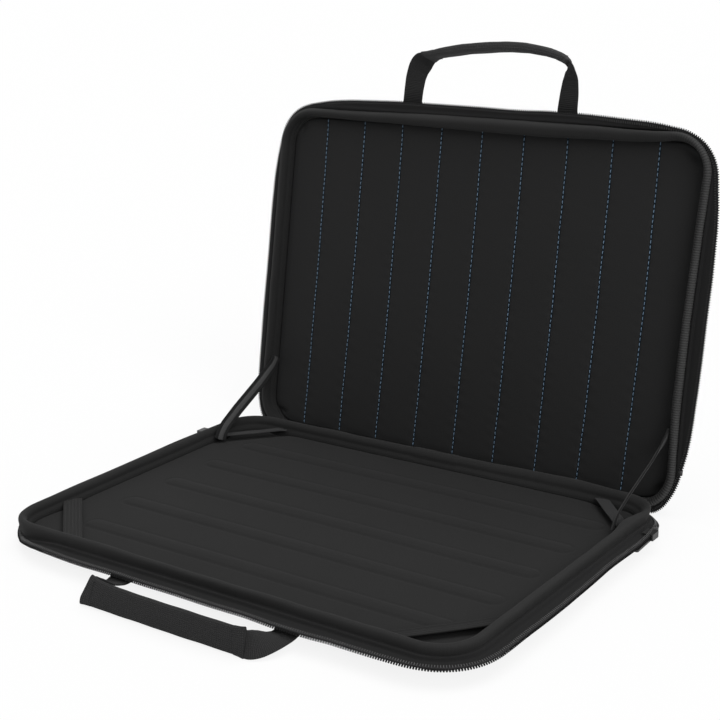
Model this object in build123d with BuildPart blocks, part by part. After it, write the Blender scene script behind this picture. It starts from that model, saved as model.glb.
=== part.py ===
"""Zipped laptop hard case, open: two moulded halves, a fabric spine, stay straps, zip, corner straps and handles.

Millimetres, +Z up. The origin is the centre of the base's underside. The front, with the handles, faces -Y.
Each half is drawn in its own frame: local z is 0 on its outer face and half_height at the crest of its rim.
"""

from build123d import *
import math
import os

# ---- the two halves ----
case_width = 400.0          # crest to crest of the side rims
case_depth = 285.0          # crest to crest of the front and rear rims
half_height = 22.0          # outer face of a half to the crest of its rim
corner_radius = 30.0        # of the crest line
closing_gap = 2.0           # between the two crests when the case is shut
open_angle = 101.2          # of the lid from shut, where the stay straps come tight
hinge_setback = 0.7         # fold of the spine behind the rear crest line
hinge_height = 7.75         # fold of the spine above the underside

# ---- moulded shell ----
binding_height = 10.5       # rim binding above the shell's edge
binding_thickness = 3.5
binding_lean = 3.0          # how far its foot leans inwards
binding_edge_radius = 1.4
wall_proud = 1.2            # cover's side wall outside the crest line
cover_thickness = 0.8
laminate_gap = 0.25         # glue line between cover and shell
shell_edge_radius = 10.0    # round the outer face
shell_floor = 2.2
pocket_inset = 4.9          # shell's inner wall inside the crest line

# ---- pads ----
pad_clearance = 0.3
pad_corner_radius = 24.8
pad_edge_radius = 2.5
base_pad_depth = 11.0       # crest down to the pad's face
lid_pad_depth = 12.0
rib_count = 5
rib_pitch = 48.6
rib_length = 344.0
rib_width = 14.0
rib_height = 1.4
rib_edge_radius = 1.0
channel_count = 9           # quilting seams
channel_pitch = 39.4
channel_width = 1.8
channel_depth = 0.8
channel_margin = 9.0        # seam end to the pad's edge

# ---- zip ----
tape_thickness = 0.9
tape_root_height = 0.7      # tape's root above the shell's edge
base_tape_reach = 17.0      # outer edge of the teeth outside the crest line
base_tape_rise = 0.8        # of the teeth above the root
lid_tape_reach = 11.5
lid_tape_rise = 9.3
tape_end = 8.0              # tape runs on past the side's straight part
coil_width = 3.8
coil_thickness = 2.2
coil_spine = 1.3            # unbroken inner part of the coil
tooth_pitch = 5.0
tooth_width = 3.0
coil_end_margin = 4.0       # side's straight part left without teeth at the rear
stop_length = 4.0
stop_wrap = 1.0
tape_taper = 12.0           # length over which the tape's rear ends run out
slider_length = 10.0
slider_wall = 1.0
slider_gap = 0.35           # running gap round the coil
slider_lip = 3.5            # slider's plates inside the coil
slider_park = 3.0           # parked slider to the coil's end
bridge_inset = 2.9          # bridge's middle inside the coil's middle
bridge_height = 2.4         # clear height under the slider's bridge
bridge_thickness = 1.2
bridge_width = 1.6
tab_bar = 1.6               # pull tab's crossbar and plate thickness
tab_arm_gap = 2.6
tab_width = 5.2
tab_eye = 5.4               # crossbar's axis to the plate
tab_length = 22.0
tab_droop = 3.0             # degrees below level

# ---- straps ----
strap_thickness = 1.2
strap_width = 12.5
strap_lift = 0.1            # above the ribs
front_strap_leg_x = 57.0    # centre line's reach along each rim from the corner
front_strap_leg_y = 68.0
rear_strap_leg_x = 39.5
rear_strap_leg_y = 41.0
stay_width = 10.0
stay_thickness = 1.2
stay_inset = 7.0            # stay's middle inside the crest line
stay_end = 8.0              # sewn end, along the rim
stay_base_setback = 48.5    # rear crest line to the stay's end on the base
stay_lid_setback = 61.0
stay_base_drop = 4.5        # crest to the middle of the stay's end
stay_lid_drop = 5.0
spine_thickness = 0.8
spine_gap = 0.3             # to the lid's rim
spine_lap = 1.6             # sewn margin above the shell's edge
spine_fall = 6.0            # straight hang below the base's seam
spine_rise = 6.0            # straight run up the lid's rim from its seam
spine_sag = 1.6             # height of the fold above the ground
spine_end = 8.0             # rim's straight part left without spine at each end

# ---- handles ----
webbing_width = 18.0
webbing_thickness = 1.6
anchor_height = 8.0         # strap's middle above the outer face
anchor_spread = 147.0       # between the two strap ends
anchor_clearance = 0.4
grip_height = 11.0          # grip's middle above the outer face
twist_clearance = 1.5       # teeth to the start of the strap's turn on edge
twist_steps = 6
base_handle_reach = 42.0    # crest line to the grip
base_handle_bend = 8.0
base_grip_lean = 1.8        # degrees at the grip's ends
lid_handle_reach = 51.7
lid_handle_bend = 11.2
lid_grip_lean = 17.0
sleeve_width = 20.0
sleeve_thickness = 8.5
sleeve_edge_radius = 3.2
sleeve_clearance = 0.3      # round the strap

# ---- derived ----
half_width = case_width / 2
half_depth = case_depth / 2
edge_height = half_height - binding_height          # shell's sewn edge
side_run = case_depth - 2 * corner_radius
front_run = case_width - 2 * corner_radius
corner_run = math.pi * corner_radius / 2
tape_root = binding_thickness / 2
hinge_y = half_depth + hinge_setback

base_frame = Plane.XY
shut_frame = Plane(origin=(0, 0, 2 * half_height + closing_gap), x_dir=(-1, 0, 0), z_dir=(0, 0, -1))
swing = Pos(0, hinge_y, hinge_height) * Rot(X=-open_angle) * Pos(0, -hinge_y, -hinge_height)
lid_frame = Plane(swing * shut_frame.location)

os.makedirs("parts", exist_ok=True)


def save(piece, node):
    """Label a finished piece and write its STEP file."""
    piece.part.label = node
    export_step(piece.part, f"parts/{node}.step")


def rim_outline(outward):
    """Rounded rectangle that runs parallel to the crest line."""
    return RectangleRounded(case_width + 2 * outward, case_depth + 2 * outward, corner_radius + outward)


def up(frame):
    return Axis(frame.origin, frame.z_dir)


def lowest_edges(piece, frame):
    return piece.faces().sort_by(up(frame))[0].edges()


def highest_edges(piece, frame):
    return piece.faces().sort_by(up(frame))[-1].edges()


# ---- moulded halves ----
def make_cover(frame):
    """Outer fabric, laminated over the shell and open towards the inside."""
    with BuildPart() as cover:
        with BuildSketch(frame):
            rim_outline(wall_proud)
        extrude(amount=edge_height)
        fillet(lowest_edges(cover, frame), radius=shell_edge_radius)
        offset(amount=-cover_thickness, openings=cover.faces().sort_by(up(frame))[-1])
    return cover


def make_shell(frame):
    """EVA dish inside the cover."""
    skin = cover_thickness + laminate_gap
    with BuildPart() as shell:
        with BuildSketch(frame.offset(skin)):
            rim_outline(wall_proud - skin)
        extrude(amount=edge_height - skin)
        fillet(lowest_edges(shell, frame), radius=shell_edge_radius - skin)
        with BuildSketch(frame.offset(skin + shell_floor)):
            rim_outline(-pocket_inset)
        extrude(amount=edge_height, mode=Mode.SUBTRACT)
    return shell


def make_binding(frame):
    """Rolled binding that stands on the shell's edge, with its inner face leaning in."""
    foot = tape_root + binding_lean
    with BuildPart() as binding:
        with BuildSketch(frame.offset(edge_height)):
            rim_outline(tape_root)
        extrude(amount=binding_height)
        with BuildSketch(frame.offset(edge_height)):
            rim_outline(-foot)
        with BuildSketch(frame.offset(half_height)):
            rim_outline(-tape_root)
        loft(mode=Mode.SUBTRACT)
        fillet(highest_edges(binding, frame), radius=binding_edge_radius)
    return binding


def pad_block(frame, depth):
    """Plain foam insert that fills the shell's pocket up to its face."""
    seat = cover_thickness + laminate_gap + shell_floor + pad_clearance
    inset = pocket_inset + pad_clearance
    with BuildPart() as block:
        with BuildSketch(frame.offset(seat)):
            RectangleRounded(case_width - 2 * inset, case_depth - 2 * inset, pad_corner_radius)
        extrude(amount=half_height - depth - seat)
        fillet(highest_edges(block, frame), radius=pad_edge_radius)
    return block


def make_ribbed_pad(frame):
    """Base pad with long low ribs that keep the laptop off its face."""
    block = pad_block(frame, base_pad_depth)
    with BuildPart() as pad:
        add(block.part)
        with BuildSketch(frame.offset(half_height - base_pad_depth)):
            with GridLocations(0, rib_pitch, 1, rib_count):
                SlotOverall(rib_length, rib_width)
        extrude(amount=rib_height)
        fillet(highest_edges(pad, frame), radius=rib_edge_radius)
        rib_tops = pad.faces().group_by(up(frame))[-1]
        fillet([edge for face in rib_tops[1:] for edge in face.edges()], radius=rib_edge_radius)
    return pad


def make_quilted_pad(frame):
    """Lid pad with a row of sewn seams drawn down into its face."""
    block = pad_block(frame, lid_pad_depth)
    seam_length = case_depth - 2 * (pocket_inset + pad_clearance + channel_margin)
    with BuildPart() as pad:
        add(block.part)
        with BuildSketch(frame.offset(half_height - lid_pad_depth)):
            with GridLocations(channel_pitch, 0, channel_count, 1):
                Rectangle(channel_width, seam_length)
        extrude(amount=-channel_depth, mode=Mode.SUBTRACT)
    return pad


# ---- zip ----
def make_tape(frame, reach, rise):
    """Zip tape that flares out from the binding's foot round the sides and front."""
    root = edge_height + tape_root_height
    edge = reach - coil_width
    straight_end = half_depth - corner_radius + tape_end
    section_frame = Plane(
        origin=frame.from_local_coords((-half_width, straight_end, 0)),
        x_dir=-frame.x_dir,
        z_dir=frame.y_dir,
    )
    with BuildPart() as tape:
        with BuildLine(frame):
            left = Line((-half_width, straight_end), (-half_width, -half_depth + corner_radius))
            bend = TangentArc(left @ 1, (-half_width + corner_radius, -half_depth), tangent=left % 1)
            front = Line(bend @ 1, (half_width - corner_radius, -half_depth))
            turn = TangentArc(front @ 1, (half_width, -half_depth + corner_radius), tangent=front % 1)
            Line(turn @ 1, (half_width, straight_end))
        with BuildSketch(section_frame):
            with BuildLine():
                Polyline(
                    (tape_root, root),
                    (edge, root + rise - tape_thickness / 2),
                    (edge, root + rise + tape_thickness / 2),
                    (tape_root, root + tape_thickness),
                    close=True,
                )
            make_face()
        sweep()
        with BuildSketch(frame.offset(edge_height)):
            for side in (-1, 1):
                with BuildLine():
                    Polyline(
                        (side * (half_width + tape_root), straight_end),
                        (side * (half_width + reach), straight_end),
                        (side * (half_width + reach), straight_end - tape_taper),
                        (side * (half_width + edge), straight_end - tape_taper),
                        close=True,
                    )
                make_face()
        extrude(amount=half_height, mode=Mode.SUBTRACT)
    return tape


def rim_point(distance, outward):
    """Local point beside the crest line, measured along it from the left side's rear end."""
    bends = (
        (side_run, -half_width + corner_radius, -half_depth + corner_radius, 180),
        (side_run + corner_run + front_run, half_width - corner_radius, -half_depth + corner_radius, 270),
    )
    rear = half_depth - corner_radius
    if distance <= side_run:
        return (-half_width - outward, rear - distance)
    if distance >= side_run + 2 * corner_run + front_run:
        return (half_width + outward, rear - (2 * side_run + 2 * corner_run + front_run - distance))
    for start, centre_x, centre_y, heading in bends:
        if start <= distance <= start + corner_run:
            angle = math.radians(heading + 90 * (distance - start) / corner_run)
            reach = corner_radius + outward
            return (centre_x + reach * math.cos(angle), centre_y + reach * math.sin(angle))
    return (-half_width + corner_radius + distance - side_run - corner_run, -half_depth - outward)


def rim_arc(bend, outward):
    """Arc round one corner between two distances along the crest line."""
    return ThreePointArc(*(rim_point(distance, outward) for distance in (bend[0], sum(bend) / 2, bend[1])))


coil_run = 2 * side_run + 2 * corner_run + front_run
tooth_count = int((coil_run - 2 * coil_end_margin) / tooth_pitch)
coil_length = (tooth_count - 1) * tooth_pitch + tooth_width
coil_start = (coil_run - coil_length) / 2
coil_stop = coil_start + coil_length
coil_rear = half_depth - corner_radius - coil_start


def make_coil(frame, reach, rise):
    """Row of teeth along the tape's free edge, as one comb."""
    toothed_edge = []
    for tooth in range(tooth_count):
        near = coil_start + tooth * tooth_pitch
        far = near + tooth_width
        toothed_edge += [
            rim_point(near, reach - coil_width + coil_spine),
            rim_point(near, reach),
            rim_point(far, reach),
            rim_point(far, reach - coil_width + coil_spine),
        ]
    plain = reach - coil_width
    first_bend = (side_run, side_run + corner_run)
    second_bend = (side_run + corner_run + front_run, side_run + 2 * corner_run + front_run)
    middle = edge_height + tape_root_height + rise
    with BuildPart() as coil:
        with BuildSketch(frame.offset(middle - coil_thickness / 2)):
            with BuildLine():
                Polyline(*toothed_edge)
                Line(rim_point(coil_stop, reach - coil_width + coil_spine), rim_point(coil_stop, plain))
                Line(rim_point(coil_stop, plain), rim_point(second_bend[1], plain))
                rim_arc(second_bend, plain)
                Line(rim_point(second_bend[0], plain), rim_point(first_bend[1], plain))
                rim_arc(first_bend, plain)
                Line(rim_point(first_bend[0], plain), rim_point(coil_start, plain))
                Line(rim_point(coil_start, plain), toothed_edge[0])
            make_face()
        extrude(amount=coil_thickness)
    return coil


def make_stops(frame, reach, rise):
    """Pair of clamped stops that close the two ends of the coil."""
    middle = edge_height + tape_root_height + rise
    height = coil_thickness + 2 * stop_wrap
    with BuildPart() as stops:
        for side in (-1, 1):
            with BuildSketch(frame.offset(middle - height / 2)):
                with Locations((side * (half_width + reach - coil_width / 2), coil_rear + stop_length / 2)):
                    Rectangle(coil_width, stop_length)
            extrude(amount=height)
    return stops


def slider_place(side):
    """Middle of a parked slider on the base's coil: x, y and height."""
    across = side * (half_width + base_tape_reach - coil_width / 2)
    along = coil_rear - slider_park - slider_length / 2
    return across, along, edge_height + tape_root_height + base_tape_rise


plate_height = edge_height + tape_root_height + base_tape_rise - coil_thickness / 2 - slider_gap - slider_wall
bridge_axis_height = plate_height - bridge_height / 2


def make_slider(side):
    """Slider round the coil, open towards the tape, with a bridge below for the pull tab."""
    across, along, middle = slider_place(side)
    clear = coil_thickness / 2 + slider_gap
    inner = coil_width / 2 + slider_lip
    outer = coil_width / 2 + slider_gap + slider_wall
    section = Plane(origin=(across, along, middle), x_dir=(side, 0, 0), z_dir=(0, side, 0))
    with BuildPart() as slider:
        with BuildSketch(section):
            with Locations(((outer - inner) / 2, 0)):
                Rectangle(outer + inner, 2 * (clear + slider_wall))
            with Locations(((outer - inner) / 2 - slider_wall, 0)):
                Rectangle(outer + inner, 2 * clear, mode=Mode.SUBTRACT)
        extrude(amount=slider_length / 2, both=True)
        outermost = slider.edges().filter_by(Axis.Z).group_by(Axis((0, 0, 0), (side, 0, 0)))[-1]
        fillet(outermost, radius=slider_wall / 2)
        legs = slider_length / 4
        bridge_x = across - side * bridge_inset
        with BuildSketch(Plane.XY.offset(plate_height)):
            with Locations((bridge_x, along - legs), (bridge_x, along + legs)):
                Rectangle(bridge_width, bridge_thickness)
        extrude(amount=-bridge_height)
        with BuildSketch(Plane.XY.offset(plate_height - bridge_height)):
            with Locations((bridge_x, along)):
                Rectangle(bridge_width, 2 * legs + bridge_thickness)
        extrude(amount=-bridge_thickness)
    return slider


def make_pull_tab(side):
    """Flat pull with an eye round the slider's bridge, lying back under the tape."""
    across, along, middle = slider_place(side)
    droop = math.radians(tab_droop)
    flat = Plane(
        origin=(across - side * bridge_inset, along, bridge_axis_height),
        x_dir=(1, 0, 0),
        z_dir=(0, -math.sin(droop), math.cos(droop)),
    )
    with BuildPart() as tab:
        with BuildSketch(flat.offset(-tab_bar / 2)) as outline:
            with Locations((0, -tab_length / 2)):
                Rectangle(tab_width, tab_length)
            with Locations((0, -tab_eye / 2)):
                Rectangle(tab_arm_gap, tab_eye, mode=Mode.SUBTRACT)
            fillet(outline.vertices().sort_by(Axis.Y)[:2], radius=tab_width / 4)
        extrude(amount=tab_bar)
        with BuildSketch(Plane(origin=flat.origin, x_dir=flat.y_dir, z_dir=(1, 0, 0))):
            Circle(tab_bar / 2)
        extrude(amount=tab_width / 2, both=True)
    return tab


# ---- straps ----
def tray_space(frame, clearance=0.0):
    """Space inside the binding's leaning inner face."""
    with BuildPart() as space:
        with BuildSketch(frame.offset(edge_height)):
            rim_outline(-tape_root - binding_lean - clearance)
        with BuildSketch(frame.offset(half_height)):
            rim_outline(-tape_root - clearance)
        loft()
    return space.part


def make_corner_strap(side, end, leg_x, leg_y):
    """Flat strap across one corner of the base's tray."""
    length = math.hypot(leg_x, leg_y)
    middle = (side * (half_width - leg_x / 2), end * (half_depth - leg_y / 2))
    height = half_height - base_pad_depth + rib_height + strap_lift
    space = tray_space(base_frame)
    heading = math.degrees(math.atan2(-side * end * leg_y, leg_x))
    with BuildPart() as strap:
        with BuildSketch(base_frame.offset(height)):
            with Locations(middle):
                Rectangle(length + 2 * strap_width, strap_width, rotation=heading)
        extrude(amount=strap_thickness)
        add(space, mode=Mode.INTERSECT)
    return strap


def stay_end_block(frame, side, setback, drop, clearance):
    """Sewn end of a stay, between the strap and the rim's inner face."""
    inner = half_width - stay_inset - stay_thickness / 2
    start = frame.from_local_coords((side * inner, half_depth - setback, half_height - drop))
    space = tray_space(frame, clearance)
    with BuildPart() as block:
        with BuildSketch(Plane(origin=start, x_dir=frame.y_dir, z_dir=side * frame.x_dir)):
            Rectangle(stay_end, stay_width / 2)
        extrude(amount=stay_inset + stay_thickness)
        add(space, mode=Mode.INTERSECT)
    return block


def make_stay(side):
    """Strap that comes tight between the two halves when the lid is open."""
    lid_side = -side
    base_point = base_frame.from_local_coords((0, half_depth - stay_base_setback, half_height - stay_base_drop))
    lid_point = lid_frame.from_local_coords((0, half_depth - stay_lid_setback, half_height - stay_lid_drop))
    along = lid_point - base_point
    middle = (base_point + lid_point) / 2
    origin = (side * (half_width - stay_inset), middle.Y, middle.Z)
    base_end = stay_end_block(base_frame, side, stay_base_setback, stay_base_drop, 0.0)
    lid_end = stay_end_block(lid_frame, lid_side, stay_lid_setback, stay_lid_drop, spine_gap)
    with BuildPart() as stay:
        with BuildSketch(Plane(origin=origin, x_dir=along, z_dir=(1, 0, 0))):
            Rectangle(along.length + stay_end, stay_width)
        extrude(amount=stay_thickness / 2, both=True)
        add(base_end.part)
        add(lid_end.part)
    return stay


def make_spine():
    """Fabric hinge sewn to both rear rims, hanging in a fold between them."""
    face = half_depth + tape_root + spine_thickness / 2
    base_seam = base_frame.from_local_coords((0, face, edge_height + spine_lap))
    base_drop = base_frame.from_local_coords((0, face, edge_height - spine_fall))
    lid_rise = lid_frame.from_local_coords((0, face + spine_gap, edge_height + spine_rise))
    lid_seam = lid_frame.from_local_coords((0, face + spine_gap, edge_height + spine_lap / 2))
    fold = (base_drop.Y + (base_drop.Z - spine_sag), spine_sag)
    with BuildPart() as spine:
        with BuildSketch(Plane.YZ):
            with BuildLine():
                Polyline(
                    (base_seam.Y, base_seam.Z),
                    (base_drop.Y, base_drop.Z),
                    fold,
                    (lid_rise.Y, lid_rise.Z),
                    (lid_seam.Y, lid_seam.Z),
                )
            trace(line_width=spine_thickness)
        extrude(amount=front_run / 2 - spine_end, both=True)
    return spine


# ---- handles ----
def facing_out(frame, x, reach, height):
    """Plane across a strap that leaves the front: its x runs along the rim, its y away from the outer face."""
    origin = frame.from_local_coords((x, -half_depth - reach, height))
    return Plane(origin=origin, x_dir=frame.x_dir, z_dir=-frame.y_dir)


def grip_corner(reach, bend, lean):
    """Local end of a handle's arched grip."""
    turn = math.radians(lean)
    return (-anchor_spread / 2 + bend - bend * math.sin(turn), -half_depth - reach + bend - bend * math.cos(turn))


def grip_radius(bend, lean):
    return (anchor_spread / 2 - bend + bend * math.sin(math.radians(lean))) / math.sin(math.radians(lean))


def make_webbing(frame, reach, bend, lean, tape_reach):
    """Strap held at the shell's side wall at both ends and turned on edge along the grip."""
    pivot = wall_proud + anchor_clearance + webbing_thickness / 2
    twist_start = tape_reach + twist_clearance
    twist_end = reach - bend
    thickness = webbing_thickness
    with BuildPart() as webbing:
        with BuildLine(frame.offset(grip_height)):
            start = (-anchor_spread / 2, -half_depth - twist_end)
            out = JernArc(start=start, tangent=(0, -1), radius=bend, arc_size=90 - lean)
            grip = JernArc(start=out @ 1, tangent=out % 1, radius=grip_radius(bend, lean), arc_size=2 * lean)
            JernArc(start=grip @ 1, tangent=grip % 1, radius=bend, arc_size=90 - lean)
        with BuildSketch(facing_out(frame, -anchor_spread / 2, twist_end, grip_height)):
            Rectangle(thickness, webbing_width)
        sweep()
        for side in (-1, 1):
            x = side * anchor_spread / 2
            edge = frame.from_local_coords((x - webbing_width / 2, -half_depth, anchor_height))
            with BuildSketch(Plane(origin=edge, x_dir=-frame.y_dir, z_dir=frame.x_dir)):
                with Locations((pivot, 0)):
                    Circle(thickness / 2)
                with Locations(((pivot + twist_start) / 2, 0)):
                    Rectangle(twist_start - pivot, thickness)
            extrude(amount=webbing_width)
            for step in range(twist_steps + 1):
                share = step / twist_steps
                out_by = twist_start + share * (twist_end - twist_start)
                height = anchor_height + share * (grip_height - anchor_height)
                with BuildSketch(facing_out(frame, x, out_by, height)):
                    Rectangle(webbing_width, thickness, rotation=side * 90 * share)
            loft(ruled=True)
    return webbing


def make_sleeve(frame, reach, bend, lean):
    """Padded sleeve round the grip."""
    turn = math.radians(lean)
    corner = grip_corner(reach, bend, lean)
    section = Plane(
        origin=frame.from_local_coords((corner[0], corner[1], grip_height)),
        x_dir=math.sin(turn) * frame.x_dir + math.cos(turn) * frame.y_dir,
        z_dir=math.cos(turn) * frame.x_dir - math.sin(turn) * frame.y_dir,
    )
    with BuildPart() as sleeve:
        with BuildLine(frame.offset(grip_height)):
            JernArc(
                start=corner,
                tangent=(math.cos(turn), -math.sin(turn)),
                radius=grip_radius(bend, lean),
                arc_size=2 * lean,
            )
        with BuildSketch(section):
            RectangleRounded(sleeve_thickness, sleeve_width, sleeve_edge_radius)
            Rectangle(
                webbing_thickness + 2 * sleeve_clearance,
                webbing_width + 2 * sleeve_clearance,
                mode=Mode.SUBTRACT,
            )
        sweep()
    return sleeve


base_grip = (base_handle_reach, base_handle_bend, base_grip_lean)
lid_grip = (lid_handle_reach, lid_handle_bend, lid_grip_lean)

for node, piece in (
    ("base_cover", make_cover(base_frame)),
    ("base_shell", make_shell(base_frame)),
    ("base_binding", make_binding(base_frame)),
    ("base_pad", make_ribbed_pad(base_frame)),
    ("base_zip_tape", make_tape(base_frame, base_tape_reach, base_tape_rise)),
    ("base_zip_coil", make_coil(base_frame, base_tape_reach, base_tape_rise)),
    ("base_zip_stops", make_stops(base_frame, base_tape_reach, base_tape_rise)),
    ("lid_cover", make_cover(lid_frame)),
    ("lid_shell", make_shell(lid_frame)),
    ("lid_binding", make_binding(lid_frame)),
    ("lid_pad", make_quilted_pad(lid_frame)),
    ("lid_zip_tape", make_tape(lid_frame, lid_tape_reach, lid_tape_rise)),
    ("lid_zip_coil", make_coil(lid_frame, lid_tape_reach, lid_tape_rise)),
    ("lid_zip_stops", make_stops(lid_frame, lid_tape_reach, lid_tape_rise)),
    ("base_corner_strap_front_left", make_corner_strap(-1, -1, front_strap_leg_x, front_strap_leg_y)),
    ("base_corner_strap_front_right", make_corner_strap(1, -1, front_strap_leg_x, front_strap_leg_y)),
    ("base_corner_strap_rear_left", make_corner_strap(-1, 1, rear_strap_leg_x, rear_strap_leg_y)),
    ("base_corner_strap_rear_right", make_corner_strap(1, 1, rear_strap_leg_x, rear_strap_leg_y)),
    ("stay_strap_left", make_stay(-1)),
    ("stay_strap_right", make_stay(1)),
    ("hinge_spine", make_spine()),
    ("base_handle_webbing", make_webbing(base_frame, *base_grip, base_tape_reach)),
    ("base_handle_sleeve", make_sleeve(base_frame, *base_grip)),
    ("lid_handle_webbing", make_webbing(lid_frame, *lid_grip, lid_tape_reach)),
    ("lid_handle_sleeve", make_sleeve(lid_frame, *lid_grip)),
    ("zip_slider_left", make_slider(-1)),
    ("zip_slider_right", make_slider(1)),
    ("pull_tab_left", make_pull_tab(-1)),
    ("pull_tab_right", make_pull_tab(1)),
):
    save(piece, node)
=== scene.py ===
"""Looks for the laptop hard case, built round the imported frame.

Each half is drawn in its own millimetres, outer face down and front towards -y, and
to_world places it in the scene's metres. s is the distance round the rim from the rear
middle towards -x, u the distance along the zip from the start of its sewn run.
"""
import math

import bpy
import numpy as np
from mathutils import Matrix, Vector


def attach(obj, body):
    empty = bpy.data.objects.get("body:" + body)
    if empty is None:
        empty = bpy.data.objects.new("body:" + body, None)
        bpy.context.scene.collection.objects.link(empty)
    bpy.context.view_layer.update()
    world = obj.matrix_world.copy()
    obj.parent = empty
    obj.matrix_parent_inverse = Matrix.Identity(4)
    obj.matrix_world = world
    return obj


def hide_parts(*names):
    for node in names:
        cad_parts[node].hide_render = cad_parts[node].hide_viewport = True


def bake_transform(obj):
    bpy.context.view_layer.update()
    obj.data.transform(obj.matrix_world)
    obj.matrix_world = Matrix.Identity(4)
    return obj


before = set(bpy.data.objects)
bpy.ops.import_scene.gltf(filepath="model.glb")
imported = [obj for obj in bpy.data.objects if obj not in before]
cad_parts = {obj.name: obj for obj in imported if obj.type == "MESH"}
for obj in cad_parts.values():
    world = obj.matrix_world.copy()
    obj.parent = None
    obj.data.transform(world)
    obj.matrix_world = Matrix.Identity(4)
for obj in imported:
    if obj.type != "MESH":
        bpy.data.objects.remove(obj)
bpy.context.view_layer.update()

MM = 0.001
TURN = 2 * math.pi
HALF_W, HALF_D, CORNER = 200.0, 142.5, 30.0  # crest of the rim: half width, half depth, corner radius
HINGE_Y, HINGE_Z = 143.2, 7.75
OPEN = math.radians(101.2)  # the lid's angle at rest
SHUT = 46.0  # height of the closed case
RUN_FRONT, RUN_SIDE = 2 * (HALF_W - CORNER), 2 * (HALF_D - CORNER)
RUN_BEND = CORNER * TURN / 4
LOOP = 2 * RUN_FRONT + 2 * RUN_SIDE + 4 * RUN_BEND
U_START = RUN_FRONT / 2 + RUN_BEND
U_LENGTH = 2 * RUN_SIDE + 2 * RUN_BEND + RUN_FRONT


# ---------------------------------------------------------------- frames and curves
def to_world(points, half):
    """Local millimetres of one half to world metres; the base's frame is the world's."""
    p = np.asarray(points, float)
    if half != "lid":
        return p * MM
    dy, dz = p[..., 1] - HINGE_Y, SHUT - p[..., 2] - HINGE_Z
    c, s = math.cos(-OPEN), math.sin(-OPEN)
    return np.stack([-p[..., 0], HINGE_Y + dy * c - dz * s, HINGE_Z + dy * s + dz * c], axis=-1) * MM


def crest(s):
    """Points and outward normals on the crest of the rim."""
    s = np.mod(np.asarray(s, float), LOOP)
    half = RUN_FRONT / 2
    marks = np.cumsum([0, half, RUN_BEND, RUN_SIDE, RUN_BEND, RUN_FRONT,
                       RUN_BEND, RUN_SIDE, RUN_BEND, half])
    cx, cy = HALF_W - CORNER, HALF_D - CORNER
    out = np.zeros(s.shape + (4,))
    lines = ((0, (0, HALF_D), (-1, 0), (0, 1)), (2, (-HALF_W, cy), (0, -1), (-1, 0)),
             (4, (-cx, -HALF_D), (1, 0), (0, -1)), (6, (HALF_W, -cy), (0, 1), (1, 0)),
             (8, (cx, HALF_D), (-1, 0), (0, 1)))
    for k, start, step, normal in lines:
        m = (s >= marks[k]) & (s <= marks[k + 1])
        d = (s - marks[k])[m][:, None]
        points = np.array(start) + d * np.array(step)
        out[m] = np.hstack([points, np.broadcast_to(normal, points.shape)])
    bends = ((1, (-cx, cy), 90), (3, (-cx, -cy), 180), (5, (cx, -cy), 270), (7, (cx, cy), 0))
    for k, centre, first in bends:
        m = (s > marks[k]) & (s < marks[k + 1])
        a = np.radians(first + 90 * (s - marks[k])[m] / RUN_BEND)
        n = np.stack([np.cos(a), np.sin(a)], axis=-1)
        out[m] = np.hstack([np.array(centre) + CORNER * n, n])
    return out[..., :2], out[..., 2:]


def loop_grid(s, outward, height):
    """Grid round the rim: outward and height are (n, m)."""
    p, n = crest(s)
    return np.stack([p[:, :1] + n[:, :1] * outward, p[:, 1:] + n[:, 1:] * outward, height], axis=-1)


def curve_at(x, table, blur=5.0):
    """Smooth curve through (x, value) pairs."""
    xs, ys = np.array(table, float).T
    x = np.asarray(x, float)
    steps = np.linspace(-1.5, 1.5, 13)
    w = bell(steps, 1)
    return sum(wi * np.interp(x + di * blur, xs, ys) for wi, di in zip(w, steps)) / w.sum()


def ripple(x, seed, waves, size):
    """Repeatable soft unevenness along x; waves are its wavelengths."""
    x = np.asarray(x, float)
    r = np.random.default_rng(seed)
    total = np.zeros(x.shape)
    for w in waves:
        wave = np.sin(TURN * x / (w * r.uniform(0.85, 1.15)) + r.uniform(0, 6.28))
        total += wave * r.uniform(0.6, 1.0)
    return total * size / len(waves)


def bell(x, width):
    """Smooth bump: 1 at x = 0, falling off over width."""
    return np.exp(-(x / width) ** 2)


def smooth(a, b, x):
    """0 up to a, 1 from b, eased between."""
    t = np.clip((x - a) / (b - a), 0, 1)
    return t * t * (3 - 2 * t)


def units(v):
    """Rows of v at length 1."""
    return v / np.linalg.norm(v, axis=1)[:, None]


def square_to(v, along):
    """Rows of v turned square to the unit rows of along, at length 1."""
    return units(v - (v * along).sum(axis=1)[:, None] * along)


def lengths(points):
    """Distance along a line of points, at each of them."""
    return np.concatenate([[0], np.cumsum(np.linalg.norm(np.diff(points, axis=0), axis=1))])


def curve_3d(t, d, rows, blur):
    """Smooth rows of numbers at distances t; the given rows lie at distances d."""
    return np.column_stack([curve_at(t, list(zip(d, column)), blur) for column in np.transpose(rows)])


# ---------------------------------------------------------------- meshes
def link_object(name, data):
    obj = bpy.data.objects.new(name, data)
    bpy.context.scene.collection.objects.link(obj)
    return obj


def make_object(name, verts, faces, material, uvs=None, smooth_faces=True):
    """Mesh object from world points in metres; uvs has a row for each corner of each face."""
    mesh = bpy.data.meshes.new(name)
    mesh.from_pydata([tuple(v) for v in np.asarray(verts)], [],
                     [tuple(int(i) for i in f) for f in faces])
    if uvs is not None:
        mesh.uv_layers.new(name="UVMap").data.foreach_set("uv", uvs.ravel())
    mesh.materials.append(material)
    mesh.validate(clean_customdata=False)
    if smooth_faces:
        mesh.shade_smooth()
    return link_object(name, mesh)


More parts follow.
